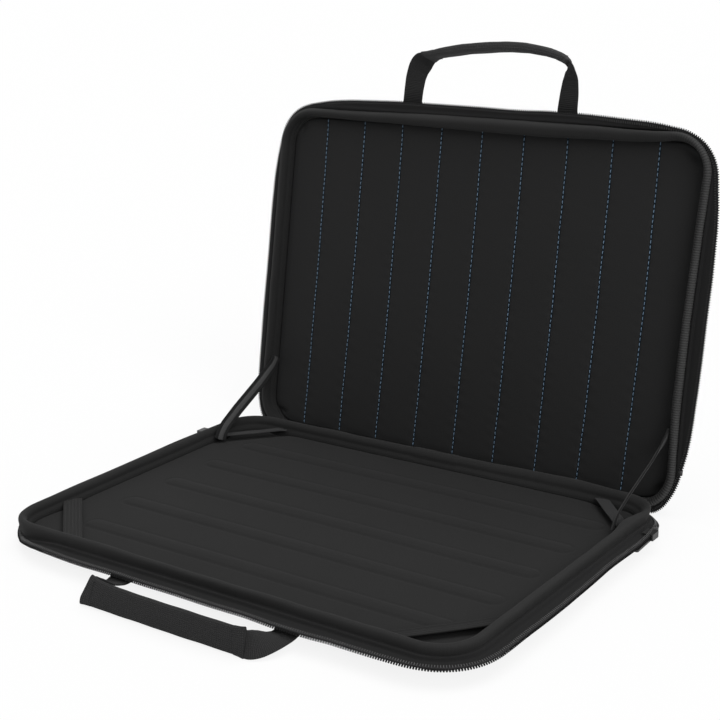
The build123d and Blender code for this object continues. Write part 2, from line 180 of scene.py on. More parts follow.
def grid_faces(n, m, wrap_n=False, wrap_m=False):
    """Quads over rows of vertices; wrap joins the last row or column to the first."""
    i = np.arange(n if wrap_n else n - 1)
    j = np.arange(m if wrap_m else m - 1)
    a, b = np.meshgrid(i, j, indexing="ij")
    a2, b2 = (a + 1) % n, (b + 1) % m
    return np.stack([a * m + b, a2 * m + b, a2 * m + b2, a * m + b2], axis=-1).reshape(-1, 4)


def tube_faces(rings, sides, start, caps=True):
    """Faces of a small tube whose rings of vertices begin at start."""
    faces = list(grid_faces(rings, sides, wrap_m=True) + start)
    if caps:
        last = start + (rings - 1) * sides
        faces += [range(start, start + sides)[::-1], range(last, last + sides)]
    return faces


def grid_object(name, grid, material, half, loop=False):
    """Tube over a grid (n, m, 3) of local points, closed round m. loop joins its ends, which are
    capped otherwise. Its UVs are the lengths along n and round m, in metres."""
    n, m = grid.shape[:2]
    line, ring = grid[:, m // 2], grid[n // 2]
    faces = grid_faces(n, m, loop, True)

    def corner_lengths(index, points, count, closed):
        at = lengths(np.vstack([points, points[:1]]))
        closing = closed & (index.max(axis=1) == count - 1) & (index.min(axis=1) == 0)
        return np.where(closing[:, None] & (index == 0), at[-1], at[index])

    uvs = np.stack([corner_lengths(faces // m, line, n, loop),
                    corner_lengths(faces % m, ring, m, True)], axis=-1).reshape(-1, 2) * MM
    faces = list(faces)
    if not loop:
        faces += [range(m), range((n - 1) * m, n * m)[::-1]]
        uvs = np.vstack([uvs, np.zeros((2 * m, 2))])
    return make_object(name, to_world(grid.reshape(-1, 3), half), faces, material, uvs)


def put(obj, body, nodes=()):
    """Let obj ride on a body, in place of the frame's nodes."""
    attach(obj, body)
    if nodes:
        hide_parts(*nodes)


# ---------------------------------------------------------------- materials
def shader_node(tree, kind, values, **settings):
    """New node with its settings and input values; a socket given as a value is linked."""
    node = tree.nodes.new("ShaderNode" + kind)
    for key, value in settings.items():
        setattr(node, key, value)
    fill(tree, node, values)
    return node


def fill(tree, node, values):
    """Set or link a node's inputs by name or number."""
    for key, value in values.items():
        if isinstance(value, bpy.types.NodeSocket):
            tree.links.new(value, node.inputs[key])
        else:
            node.inputs[key].default_value = value


def principled(name, values):
    """New material with the given shader values, its node tree and its shader."""
    mat = bpy.data.materials.new(name)
    mat.use_nodes = True
    shader = mat.node_tree.nodes["Principled BSDF"]
    fill(mat.node_tree, shader, values)
    return mat, mat.node_tree, shader


def cloth(name, colour, rough=0.95, sheen=0.03, waves=(), grain=0.3, grain_size=0.6, space="UV",
          mottle=0.12, mottle_size=30.0, spec=0.10, contrast=0.5, painted_light=None, calm=None):
    """Woven or knitted cloth. waves are (axis, pitch in mm, depth in mm, sharpness) in the named
    space; sizes are in mm. The painted-light ramp and calm are (axis, from mm, to mm, first value,
    last value): the ramp scales the colour, painting light and shade across the cloth, and calm
    scales the waves."""
    mat, tree, shader = principled(name, {"Roughness": rough, "Specular IOR Level": spec,
                                          "Sheen Weight": sheen, "Sheen Roughness": 0.5})
    coord = shader_node(tree, "TexCoord", {}).outputs

    def calc(kind, a, b):
        return shader_node(tree, "Math", {0: a, 1: b}, operation=kind).outputs[0]

    def noise(size, detail):
        values = {"Scale": 1 / MM / size, "Detail": detail, "Vector": coord["Object"]}
        return shader_node(tree, "TexNoise", values).outputs["Fac"]

    def across(axis, start, end, first, last):
        parts = shader_node(tree, "SeparateXYZ", {0: coord["UV"]})
        values = {"From Min": start * MM, "From Max": end * MM, "To Min": first, "To Max": last,
                  "Value": parts.outputs[axis]}
        ramp = shader_node(tree, "MapRange", values, interpolation_type="SMOOTHSTEP")
        return ramp.outputs["Result"]

    value = calc("ADD", 1.0 - mottle / 2, calc("MULTIPLY", noise(mottle_size, 3.0), mottle))
    height = calc("MULTIPLY", noise(grain_size, 2.0), grain)
    shade = None
    for axis, pitch, depth, sharp in waves:
        # a wave texture of scale 1 repeats every TURN / 20
        values = {"Scale": TURN / 20.0 / (pitch * MM), "Distortion": 0.0, "Vector": coord[space]}
        wave = shader_node(tree, "TexWave", values, wave_type="BANDS", bands_direction=axis,
                           wave_profile="SIN")
        shaped = calc("POWER", wave.outputs["Fac"], sharp)
        if calm:
            shaped = calc("MULTIPLY", shaped, across(*calm))
        height = calc("ADD", height, calc("MULTIPLY", shaped, depth))
        shade = shaped if shade is None else calc("MULTIPLY", shade, shaped)
    if waves:
        shade = calc("ADD", 1 - 0.56 * contrast, calc("MULTIPLY", shade, contrast))
        value = calc("MULTIPLY", value, shade)
    # painted light: a ramp across the cloth lightens or darkens its colour where light or shade falls
    if painted_light:
        value = calc("MULTIPLY", value, across(*painted_light))
    bump = shader_node(tree, "Bump", {"Strength": 1.0, "Distance": MM, "Height": height})
    tint = shader_node(tree, "VectorMath", {0: colour, "Scale": value}, operation="SCALE")
    fill(tree, shader, {"Normal": bump.outputs["Normal"], "Base Color": tint.outputs["Vector"]})
    return mat


def hard(name, colour, rough, spec):
    """Moulded plastic or enamelled metal with faint uneven wear."""
    wear = 0.15
    mat, tree, shader = principled(name, {"Roughness": rough, "Specular IOR Level": spec})
    coord = shader_node(tree, "TexCoord", {})
    noise = shader_node(tree, "TexNoise", {"Scale": 900.0, "Detail": 4.0,
                                           "Vector": coord.outputs["Object"]})
    ramp = shader_node(tree, "ValToRGB", {"Fac": noise.outputs["Fac"]})
    for element, position, gain in zip(ramp.color_ramp.elements, (0.35, 0.75), (1, 1 + 3 * wear)):
        element.position = position
        element.color = (*[c * gain for c in colour], 1)
    bump = shader_node(tree, "Bump", {"Strength": wear, "Distance": 0.2 * MM,
                                      "Height": noise.outputs["Fac"]})
    fill(tree, shader, {"Normal": bump.outputs["Normal"], "Base Color": ramp.outputs["Color"]})
    return mat


def grey(level, blue=0.0):
    """Grey colour with a little more blue."""
    return level, level, level + blue


def weave(pitch_x, depth_x, pitch_y=0.0, depth_y=0.0, sharp=1.0):
    """Waves of a cloth, along and across its length."""
    return (("X", pitch_x, depth_x, sharp),) + ((("Y", pitch_y, depth_y, 1.0),) if pitch_y else ())


M_COVER = cloth("cover_weave", grey(0.0210, 0.0005), waves=weave(0.9, 0.05, 0.9, 0.05),
                space="Object", grain=0.05, mottle=0.10)
# Painted light on the bindings: the base's colour is painted darker down its outer face towards the
# tape; the lid's is painted lighter at the crest of its roll and darker at its foot, and the lid's
# knit is set lighter than the base's as painted light.
M_BIND = {
    "base": cloth("base_binding_knit_painted_shade", grey(0.0250), waves=weave(2.0, 0.02, sharp=1.3), grain=0.10,
                  grain_size=0.8, contrast=0.06, painted_light=("Y", 3, 12, 0.80, 1.0)),
    "lid": cloth("lid_binding_knit_painted_light", grey(0.0400), waves=weave(1.9, 0.34, sharp=1.3), grain=0.10,
                 grain_size=0.8, painted_light=("Y", 11.5, 19, 1.4, 0.68), calm=("X", 440, 500, 1.0, 0.15))}
M_TAPE = cloth("zip_tape_weave", grey(0.0170, 0.0002), waves=weave(1.1, 0.04, 0.8, 0.03), grain=0.05,
               mottle=0.10)
M_LID_PAD = cloth("lid_lining", (0.0208, 0.0209, 0.0211), sheen=0.02, grain=0.10, grain_size=0.9,
                  space="Object", mottle=0.10, mottle_size=60)
M_BASE_PAD = cloth("base_lining", grey(0.0200), sheen=0.02, grain=0.14, grain_size=0.9,
                   space="Object", mottle_size=60)
M_WEB = cloth("handle_webbing", grey(0.0310, 0.0003), waves=weave(1.45, 0.30, 1.1, 0.08, 1.2),
              grain=0.04)
SLEEVE_WEAVE = {"waves": weave(1.5, 0.30, 1.5, 0.30), "grain": 0.10}
# painted light: the lid's copy of the sleeve mesh is set lighter than the base's
M_SLEEVE = {"base": cloth("sleeve_mesh", grey(0.0315, 0.0003), **SLEEVE_WEAVE),
            "lid": cloth("lid_sleeve_mesh_painted_light", grey(0.0500, 0.0003), **SLEEVE_WEAVE)}
M_STRAP = cloth("elastic_strap", grey(0.0250), waves=(("Y", 2.9, 0.20, 1.2), ("X", 0.9, 0.06, 1.0)),
                grain=0.04)
M_TAB = cloth("corner_tab", grey(0.0400, 0.0005), waves=weave(0.8, 0.10, 0.8, 0.10), grain=0.10)
M_STAY = cloth("stay_tape", grey(0.0160, 0.0002), waves=weave(0.9, 0.04), grain=0.04)
# painted highlight: the rib cord's colour is set much lighter than the tape so that its ribs read as
# glints
M_STAY_RIB_PAINTED_HIGHLIGHT = cloth("stay_rib_painted_highlight", grey(0.0600, 0.0005), waves=(("Y", 0.5, 0.05, 1.0),), grain=0.04,
                   rough=0.8, spec=0.2)
M_FOAM = cloth("foam_shell", grey(0.020), grain=0.2, grain_size=1.5, space="Object")
M_THREAD = cloth("quilting_thread", (0.135, 0.205, 0.285), rough=0.6, grain=0.05, grain_size=0.3,
                 space="Object", spec=0.3)
# painted shade: dark-blue strip laid in each quilting seam's groove, tinted with the thread's blue
M_SEAM_SHADE = cloth("seam_painted_shade", (0.0045, 0.0110, 0.0180), rough=0.9, grain=0.1, space="Object")
M_SEAM = cloth("black_thread", grey(0.0100, 0.0005), rough=0.7, grain=0.05, grain_size=0.3,
               space="Object", spec=0.2)
# The coil is black nylon (coil_heads); the grey of its loops' crowns is a painted glint, strong on
# the base and weaker on the lid.
M_COIL_PAINTED_GLINT = {"base": hard("base_coil_painted_glint", grey(0.105), 0.70, 0.05),
          "lid": hard("lid_coil_painted_glint", grey(0.045), 0.60, 0.12)}
M_COIL_HEAD = hard("coil_heads", grey(0.006), 0.75, 0.10)
M_METAL = hard("black_enamel", grey(0.015), 0.40, 0.4)


# ---------------------------------------------------------------- rim binding
# sideways lean (outward) and bulges of the rolled rims, against s
BASE_REAR_LEAN = [
    (LOOP / 2, 0), (LOOP - 180, 0), (LOOP - 150, 1.6), (LOOP - 110, 2.6), (LOOP - 60, 2.2),
    (LOOP - 10, 1.0), (LOOP + 60, 0.4), (LOOP + 140, 0), (LOOP * 1.5, 0)]
LID_LEAN = [
    (0, 0), (205, -0.5), (236, -2.2), (275, -3.6), (320, -3.6), (351, -3.0), (400, -1.2),
    (425, -0.2), (442, 0), (LOOP, 0)]
LID_INNER = [
    (0, 0), (225, 0.5), (275, 1.0), (350, 0.0), (425, 0.8), (445, -0.3), (465, -1.2), (478, -0.4),
    (495, 2.4), (517, 3.7), (594, 5.0), (640, 4.6), (687, 3.8), (740, 2.6), (789, 1.8), (835, 0.4),
    (860, 0), (LOOP, 0)]
LID_OUTER = [
    (0, 0), (420, 0), (435, 0.7), (470, 0.0), (517, -1.2), (560, 0.0), (594, 0.7), (640, 1.8),
    (687, 2.8), (720, 2.0), (760, 0.5), (800, 0), (LOOP, 0)]
# one turn of the binding, (outward, up), over the roll from the outer seam to the inner one
BINDING_RING = [
    (1.55, 10.6), (1.75, 12.0), (2.0, 14.0), (2.25, 16.5), (2.35, 18.4), (2.15, 20.0), (1.6, 21.2),
    (0.6, 21.9), (-0.6, 22.1), (-1.8, 21.8), (-2.8, 20.9), (-3.5, 19.6), (-3.8, 18.2),
    (-3.75, 16.9), (-3.4, 15.7), (-3.75, 14.8), (-4.3, 13.6), (-4.6, 12.2), (-4.6, 10.7),
    (-3.0, 10.4), (-0.5, 10.4)]
BINDING_STEP = 2.0
ROLL_AT = 18.5  # height of the roll's middle


def bump_at(s, centre, width):
    """Smooth bump round one place of the rim."""
    return bell((s - centre + LOOP / 2) % LOOP - LOOP / 2, width)


def build_binding(half):
    """Rolled fabric binding all round one half's rim, with its wander, bulges and lap."""
    n = int(LOOP / BINDING_STEP)
    s = np.arange(n) * LOOP / n
    ring = np.array(BINDING_RING)
    out, up = ring.T
    top, inner, outer = (np.clip(v, 0, 1) for v in ((up - 11) / 11, -out / 3.0, out / 2.0))
    roll = bell(up - ROLL_AT, 4.0)
    seed = 11 if half == "base" else 23
    sway = ripple(s, seed, (61, 97, 151, 33), 0.35)[:, None] * top
    lift = ripple(s, seed + 1, (83, 131, 45), 0.35)[:, None] * top
    pleat = ripple(s, seed + 2, (9.0, 13.0, 17.0), 0.12)[:, None] * bell(up - 15, 4.0)
    rear = LOOP - (RUN_FRONT / 2 + RUN_BEND / 2)  # middle of the rear corner at +x
    front = RUN_FRONT / 2 + 1.5 * RUN_BEND + RUN_SIDE  # middle of the front corner at -x

    def bump(centre, width):
        return bump_at(s, centre, width)[:, None]

    def along(table, at=s):
        return curve_at(at, table, 10.0)[:, None]

    if half == "base":
        sway += 4.2 * bump(rear, 17) * top ** 1.5
        sway += along(BASE_REAR_LEAN, np.where(s < LOOP / 2, s + LOOP, s)) * top
        for centre, width, rise in ((rear - 6, 18, -1.0), (LOOP - 118, 42, 1.3), (545, 52, 0.9),
                                    (LOOP - 236, 15, 1.0)):
            lift += rise * bump(centre, width) * top
        sway -= 2.9 * bump(LOOP - 236, 16) * inner * top ** 0.5
        for corner in (front, LOOP - front):
            sway += 0.9 * bump(corner, 15) * top
    else:
        sway += along(LID_LEAN) * top ** 0.7
        sway -= along(LID_INNER) * inner * roll
        sway += along(LID_OUTER) * outer * roll
        sway += 1.8 * bump(LOOP - front, 13) * inner * (1 - 0.5 * top)
        gather = np.sin(TURN * (s[:, None] + 0.9 * up) / 4.3 + 1.5 * np.sin(s[:, None] / 23))
        beside = np.clip(bump(LOOP - front + 90, 80) * 1.3, 0, 1)
        pleat += 0.28 * gather * beside * inner * bell(up - 13.5, 2.6)
    # the binding's two ends overlap at the rear middle
    x_rear = np.where(s < LOOP / 2, -s, LOOP - s)
    lap = (0.55 * smooth(-20, -16, x_rear) * (1 - smooth(22, 26, x_rear)))[:, None]
    away = units(ring - (-1.2, 17.0))
    grid = loop_grid(s, out + sway + pleat + lap * away[:, 0], up + lift + lap * away[:, 1])
    obj = grid_object(f"{half}_rim_binding", grid, M_BIND[half], half, loop=True)
    put(obj, half, [f"{half}_binding"])


# ---------------------------------------------------------------- zip
# reach and height of the teeth's outer edge, and height of the cloth's root, against u
BASE_REACH = [
    (-46, 1.5), (-40, 4.5), (-30, 7.5), (-18, 9.2), (-8, 10.6), (2, 14.0), (11, 16.4), (26, 17.0),
    (205, 17.0), (218, 14.5), (230, 9.5), (240, 5.8), (248, 4.2), (258, 4.2), (265, 6.6),
    (273, 10.2), (283, 13.8), (296, 15.4), (318, 16.1), (345, 17.0), (440, 17.1), (490, 17.6),
    (512, 18.5), (545, 18.1), (558, 17.1), (606, 16.8), (618, 16.0), (642, 16.2), (654, 16.0),
    (668, 17.0), (702, 17.7), (738, 17.9), (774, 16.8), (800, 16.4), (822, 16.8), (850, 17.4),
    (864, 17.2), (872, 16.4), (880, 14.8), (888, 12.0), (895, 10.2), (903, 9.0), (912, 7.8),
    (921, 5.5), (930, 1.5)]
BASE_RISE = [
    (-46, 8.5), (-12, 9.5), (6, 12.6), (60, 12.8), (205, 12.2), (226, 9.0), (240, 6.2), (258, 6.2),
    (272, 9.5), (286, 11.2), (318, 11.0), (640, 11.4), (668, 11.9), (702, 12.2), (774, 12.4),
    (850, 12.9), (868, 13.4), (880, 12.4), (888, 11.0), (895, 9.3), (903, 7.8), (930, 7.8)]
LID_REACH = [
    (-46, 2.0), (-40, 6.0), (-34, 7.7), (-28, 7.2), (-18, 5.8), (-8, 5.6), (2, 7.2), (8, 8.7),
    (18, 10.6), (30, 11.9), (42, 12.7), (66, 13.6), (102, 13.9), (150, 14.4), (186, 14.0),
    (202, 12.8), (222, 10.0), (234, 8.0), (246, 6.3), (258, 5.0), (270, 5.2), (282, 7.3),
    (294, 8.6), (306, 9.3), (330, 10.5), (354, 11.6), (378, 12.1), (402, 11.3), (414, 11.4),
    (438, 12.1), (474, 12.4), (522, 12.9), (546, 12.5), (570, 11.7), (582, 10.9), (594, 9.9),
    (606, 8.2), (618, 6.3), (630, 5.8), (642, 4.9), (654, 4.0), (666, 5.8), (678, 7.2), (690, 8.3),
    (714, 9.0), (774, 9.1), (822, 9.7), (846, 9.8), (868, 9.2), (882, 7.9), (892, 7.4), (898, 8.0),
    (903, 8.8), (911, 8.4), (921, 6.0), (930, 2.0)]
LID_RISE = [
    (-46, 12.0), (-34, 16.0), (-20, 18.8), (20, 21.0), (120, 21.4), (215, 21.0), (246, 19.2),
    (262, 19.2), (285, 21.2), (442, 21.7), (590, 21.0), (618, 18.6), (654, 18.2), (680, 19.0),
    (905, 18.8), (918, 17.0), (930, 13.0)]
BASE_ROOT = [
    (-46, 12.0), (0, 14.0), (40, 15.5), (200, 15.5), (232, 10.5), (268, 10.5), (300, 15.5),
    (600, 16.0), (880, 14.5), (930, 12.0)]
LID_ROOT = [
    (-46, 13.0), (0, 17.0), (200, 17.5), (235, 15.0), (290, 15.5), (350, 18.8), (600, 19.2),
    (900, 17.0), (930, 13.0)]
ZIP_ENDS = (-46.0, U_LENGTH + 46.0)
STOP_AT = 2.0  # from the ends of the sewn run
TAPE_HALF = 0.45  # half the cloth's thickness
COIL_PITCH, CORD_R = 1.9, 0.75
# direction of a tooth (outward, up) and its free length beyond the cloth
TOOTH = {"base": (0.766, -0.643, 2.3), "lid": (0.96, 0.28, 1.9)}
# rings of a tooth: distance from its outer end, girth, height over the coil's middle
TOOTH_RINGS = (-4.3, -3.9, -3.1, -2.2, -1.3, -0.03)
TOOTH_GIRTH = {"base": (0.4, 0.33, 0.33, 0.35, 1.08, 0.80), "lid": (0.5, 0.65, 0.60, 0.66, 0.95, 0.6)}
TOOTH_RAISED = (0.1, 0.25, 0.5, 0.4, 0.0, 0.0)
TOOTH_SIDES = 6
HEAD_RINGS = 3  # rings of the tooth's dark head


def zip_edge(u, half):
    """Reach and height of the teeth's outer edge."""
    reach = curve_at(u, BASE_REACH if half == "base" else LID_REACH, 3.0)
    rise = curve_at(u, BASE_RISE if half == "base" else LID_RISE, 4.0)
    seed = 31 if half == "base" else 47
    middle = np.clip(np.minimum(u, U_LENGTH - u) / 30, 0, 1)
    return (reach + middle * ripple(u, seed, (57, 89), 0.15),
            rise + middle * ripple(u, seed + 1, (71, 113), 0.3))


def edge_points(u, half):
    """Points on the teeth's outer edge and the outward normals there."""
    reach, rise = zip_edge(u, half)
    p, n = crest(u + U_START)
    return np.column_stack([p + n * reach[:, None], rise]), n


def build_tape(half):
    """Tape cloth from its root under the rim to the coil, and the cord sewn along its edge."""
    u = np.arange(ZIP_ENDS[0], ZIP_ENDS[1] + 0.01, 1.5)
    reach, rise = zip_edge(u, half)
    out_by, up_by, free = TOOTH[half]
    edge_o, edge_z = np.maximum(reach - free * out_by, 0.5), rise - free * up_by
    root_z = curve_at(u, BASE_ROOT if half == "base" else LID_ROOT, 6.0)
    root_o = np.full(len(u), 1.5)
    if half == "lid":  # follow the leaning roll, so that the tape leaves it without a gap
        lean = curve_at(u + U_START, LID_LEAN, 10.0) * np.clip((root_z - 11) / 11, 0, 1) ** 0.7
        root_o = 0.9 + np.minimum(lean, 0.4)
    root_o = np.minimum(root_o, edge_o - 0.3)
    co, cz = edge_o - root_o, edge_z - root_z
    chord = np.hypot(co, cz)
    t = np.concatenate([np.linspace(0, 0.5, 12), np.linspace(0.56, 1.0, 8)])
    arch = 4 * t * (1 - t) * ((-0.13 if half == "base" else 0.06) * chord)[:, None]
    o = root_o[:, None] + co[:, None] * t - (cz / chord)[:, None] * arch
    z = root_z[:, None] + cz[:, None] * t + (co / chord)[:, None] * arch
    steps = np.hypot(np.diff(o, axis=1, prepend=o[:, :1]), np.diff(z, axis=1, prepend=z[:, :1]))
    d = np.cumsum(steps, axis=1)
    to, tz = np.gradient(o, axis=1), np.gradient(z, axis=1)
    size = np.hypot(to, tz) + 1e-9
    no, nz = -tz / size, to / size
    # a raised welt beside the root where there is room, small puckers where there isn't
    room = np.clip((chord - 4.0) / 5.0, 0, 1)[:, None]
    welt = bell(d - 3.6, 1.15) - 0.45 * bell(d - 1.5, 0.7) - 0.25 * bell(d - 6.0, 0.9)
    welt = welt * room * (1 + ripple(u, 5, (23, 37), 0.12)[:, None])
    welt = welt + (1 - room) * ripple(u, 8, (6.0, 9.0, 15.0), 0.5)[:, None] * 4 * t * (1 - t)
    face = np.stack([o + no * (TAPE_HALF + welt), z + nz * (TAPE_HALF + welt)])
    back = np.stack([o - no * TAPE_HALF, z - nz * TAPE_HALF])
    ring = np.concatenate([face, back[..., ::-1]], axis=2)
    obj = grid_object(f"{half}_zip_tape_cloth", loop_grid(u + U_START, *ring), M_TAPE, half)
    put(obj, half, [f"{half}_zip_tape"])
    return u, edge_o, edge_z


def build_teeth(half):
    """One rounded loop of the coil at every pitch along the edge."""
    fine = np.arange(ZIP_ENDS[0] + 3, ZIP_ENDS[1] - 2.99, 0.5)
    run = lengths(edge_points(fine, half)[0])
    u = np.interp(np.arange(0.8, run[-1] - 0.8, COIL_PITCH), run, fine)
    here, n = edge_points(u, half)
    along = units(edge_points(u + 0.5, half)[0] - here)
    out_by, up_by, _ = TOOTH[half]
    outward = square_to(np.column_stack([n * out_by, np.full(len(n), up_by)]), along)
    upward = np.cross(outward, along)
    upward *= np.sign(upward[:, 2:3])
    a = TURN * np.arange(TOOTH_SIDES) / TOOTH_SIDES
    rings = zip(TOOTH_RINGS, TOOTH_GIRTH[half], TOOTH_RAISED)
    tooth = np.array([(r, 0.70 * g * math.cos(ak), h + 0.75 * min(g, 0.9) * math.sin(ak))
                      for r, g, h in rings for ak in a])
    verts = (here[:, None] + outward[:, None] * tooth[:, :1] + along[:, None] * tooth[:, 1:2]
             + upward[:, None] * tooth[:, 2:])
    count = len(TOOTH_RINGS)
    faces = [f for k in range(len(u)) for f in tube_faces(count, TOOTH_SIDES, k * len(tooth))]
    # loops' crowns in the painted-glint grey, the last rings in the coil's own black
    obj = make_object(f"{half}_zip_teeth", to_world(verts.reshape(-1, 3), half), faces, M_COIL_PAINTED_GLINT[half])
    obj.data.materials.append(M_COIL_HEAD)
    dark = np.arange(len(faces) // len(u)) >= (count - HEAD_RINGS) * TOOTH_SIDES
    obj.data.polygons.foreach_set("material_index", np.tile(dark, len(u)).astype(np.int32))
    put(obj, half, [f"{half}_zip_coil"])


def build_stops(half):
    """Pressed metal stops that end the coil."""
    sides = 10
    out_by, up_by, _ = TOOTH[half]
    where = np.array([STOP_AT, U_LENGTH - STOP_AT])
    tips, normals = edge_points(where, half)
    steps = units(crest(where + 0.5 + U_START)[0] - crest(where + U_START)[0])
    verts, faces = [], []
    for tip, n, step in zip(tips, normals, steps):
        ahead, out = np.append(step, 0.0), np.append(n * out_by, up_by)
        over = np.cross(ahead, out)
        faces += tube_faces(4, sides, len(verts))
        for along_by, size in ((-2.0, 0.8), (-1.6, 1.0), (1.6, 1.0), (2.0, 0.8)):
            for a in TURN * np.arange(sides) / sides:
                verts.append(tip + ahead * along_by + out * (-1.7 + 2.1 * size * math.cos(a))
                             + over * 1.5 * size * math.sin(a))
    obj = make_object(f"{half}_zip_end_stops", to_world(verts, half), faces, M_METAL)
    put(obj, half, [f"{half}_zip_stops"])


def build_zip(half):
    u, edge_o, edge_z = build_tape(half)
    build_teeth(half)
    build_stops(half)
    a = np.linspace(0, TURN, 8, endpoint=False)
    o, z = (edge_o + 0.1)[:, None] + CORD_R * np.cos(a), edge_z[:, None] + CORD_R * np.sin(a)
    obj = grid_object(f"{half}_coil_cord", loop_grid(u + U_START, o, z), M_SEAM, half)
    put(obj, half)


# ---------------------------------------------------------------- moulded covers
def build_cover(half):
    """Moulded outer skin: lip under the rim, side wall, rounded edge and flat outer face."""
    n, bend = 330, 10.0
    rows = [(0.9, 12.1), (1.55, 12.0), (1.9, 11.6), (1.75, 11.2), (1.2, 11.0), (1.25, 10.4)]
    rows += [(1.2 - bend + bend * math.cos(a), bend - bend * math.sin(a))
             for a in np.radians(np.linspace(6, 90, 11))]
    rows = np.array(rows + [(-13.0, 0.0), (-20.0, 0.0)])
    m = len(rows)
    grid = loop_grid(np.arange(n) * LOOP / n, *(np.tile(v, (n, 1)) for v in rows.T))
    faces = list(grid_faces(n, m, wrap_n=True)) + [range(m - 1, n * m, m)]
    obj = make_object(f"{half}_moulded_cover", to_world(grid.reshape(-1, 3), half), faces, M_COVER)
    put(obj, half, [f"{half}_cover"])


# ---------------------------------------------------------------- pads
PAD_W, PAD_D, PAD_CORNER = 194.8, 137.3, 24.8  # half width, half depth, corner radius
PAD_ROLL, PAD_BACK = 1.2, 4.0  # rounding of the edge, height of the hidden back
RIB_PITCH, RIB_SHIFT, RIB_HALF_WIDTH = 48.6, 5.5, 7.0
RIB_HALF_LENGTH, FRONT_RIB_HALF_LENGTH = 171.5, 164.0
SEAMS = [39.4 * k for k in range(-4, 5)]
STITCH_LENGTH, STITCH_PITCH, STITCH_RUN = 2.55, 3.95, 135.0


def pad_object(name, half, surface, material, node):
    """Foam pad: a height field over the rounded outline with its edge rolled down."""
    nx, ny = 300, 212
    gx, gy = np.meshgrid(np.linspace(-PAD_W, PAD_W, nx), np.linspace(-PAD_D, PAD_D, ny),
                         indexing="ij")
    cx, cy = PAD_W - PAD_CORNER, PAD_D - PAD_CORNER
    qx, qy = np.maximum(np.abs(gx) - cx, 0), np.maximum(np.abs(gy) - cy, 0)
    q = np.hypot(qx, qy)
    # pull the square corners of the grid onto the round ones
    pull = np.where(q > 1e-9, np.maximum(qx, qy) / np.maximum(q, 1e-9), 1.0)
    px = np.sign(gx) * (np.minimum(np.abs(gx), cx) + qx * pull)
    py = np.sign(gy) * (np.minimum(np.abs(gy), cy) + qy * pull)
    qx, qy = np.abs(px) - cx, np.abs(py) - cy
    corner = np.hypot(np.maximum(qx, 0), np.maximum(qy, 0))
    inside = PAD_CORNER - np.where((qx > 0) & (qy > 0), corner, np.maximum(qx, qy))
    edge = np.clip(inside / PAD_ROLL, 0, 1)
    z = surface(px, py, inside) - PAD_ROLL * (1 - np.sqrt(np.clip(1 - (1 - edge) ** 2, 0, 1)))
    verts = np.stack([px, py, z], axis=-1).reshape(-1, 3)
    rim = [i * ny for i in range(nx)] + [(nx - 1) * ny + j for j in range(1, ny)]
    rim += [i * ny + ny - 1 for i in range(nx - 2, -1, -1)] + list(range(ny - 2, 0, -1))
    first, count = len(verts), len(rim)
    faces = list(grid_faces(nx, ny))
    faces += [(rim[k], first + k, first + (k + 1) % count, rim[(k + 1) % count])
              for k in range(count)]
    faces.append(range(first, first + count)[::-1])
    verts = np.vstack([verts, verts[rim] * (1, 1, 0) + (0, 0, PAD_BACK)])
    obj = make_object(name, to_world(verts, half), faces, material)
    put(obj, half, [node])


def base_surface(x, y, _):
    """Base pad: moulded ribs, pressed in under the corner straps."""
    z = 11.0 + 0.25 * np.sin(x / 61 + y / 83) * np.sin(y / 47 - x / 131)
    for k in range(-2, 3):
        reach = (RIB_HALF_LENGTH if k > -2 else FRONT_RIB_HALF_LENGTH) - RIB_HALF_WIDTH
        past = np.maximum(np.abs(x - RIB_SHIFT) - reach, 0)
        d = RIB_HALF_WIDTH - np.hypot(past, y - RIB_PITCH * k)
        z = z + 0.7 * smooth(-0.4, 1.8, d) + 0.5 * smooth(0.0, 7.0, d) - 0.45 * bell(d + 0.8, 0.8)
    for leg_x, leg_y, end, deep in ((66, 66, -1, 1.4), (44.9, 47.9, 1, 2.6)):
        away = (HALF_W - np.abs(x)) / leg_x + (HALF_D - end * y) / leg_y - 1
        z = z - deep * bell(away / math.hypot(1 / leg_x, 1 / leg_y), 9.0)
    return z


def seam_wobble(y, k):
    """Sideways wander of one quilting seam."""
    drift = 0.8 + 1.0 * (y / 125) ** 2 + 0.0052 * max(0, 2 - k) * np.maximum(y, 0)
    return drift + ripple(y, 60 + k, (90, 140, 37), 0.3)


def lid_swell(x, y):
    """Slow unevenness of the lid's pad."""
    return 0.2 * np.sin(x / 71 + 1) * np.sin(y / 53)


def lid_surface(x, y, inside):
    """Lid pad: puffed between the quilting seams, gathered at the corners."""
    z = 9.7 + lid_swell(x, y)
    across = np.min([np.abs(x - c) for c in SEAMS], axis=0)
    z = z + 0.9 * (1 - np.exp(-across / 6.5)) * np.clip(inside / 6, 0, 1)
    for k, c in enumerate(SEAMS):
        d = x - c - seam_wobble(y, k)
        z = z - 0.75 * bell(d, 0.9) - 0.10 * bell(d, 2.6) * np.cos(TURN * y / STITCH_PITCH)
        pucker = TURN * (y + 0.35 * (x - c)) / 11.0 + 2 * np.sin(y / 29 + k)
        z = z + 0.16 * bell(d, 7.0) * np.sin(pucker)
    for sx, sy, wide, tall, turn in ((-1, -1, 3.2, 7.5, 0.5), (1, -1, 2.0, 4.0, 1.3),
                                     (1, 1, 2.2, 6.0, 0.2), (-1, 1, 2.6, 6.0, 0.8)):
        dx, dy = (x - sx * 185.5) * sx, (y - sy * 127.8) * sy
        a, b = dx * math.cos(turn) - dy * math.sin(turn), dx * math.sin(turn) + dy * math.cos(turn)
        z = z - 1.9 * bell(a, tall) * bell(b, wide) + 0.25 * bell(np.hypot(dx, dy) - 9, 3.5)
    return z


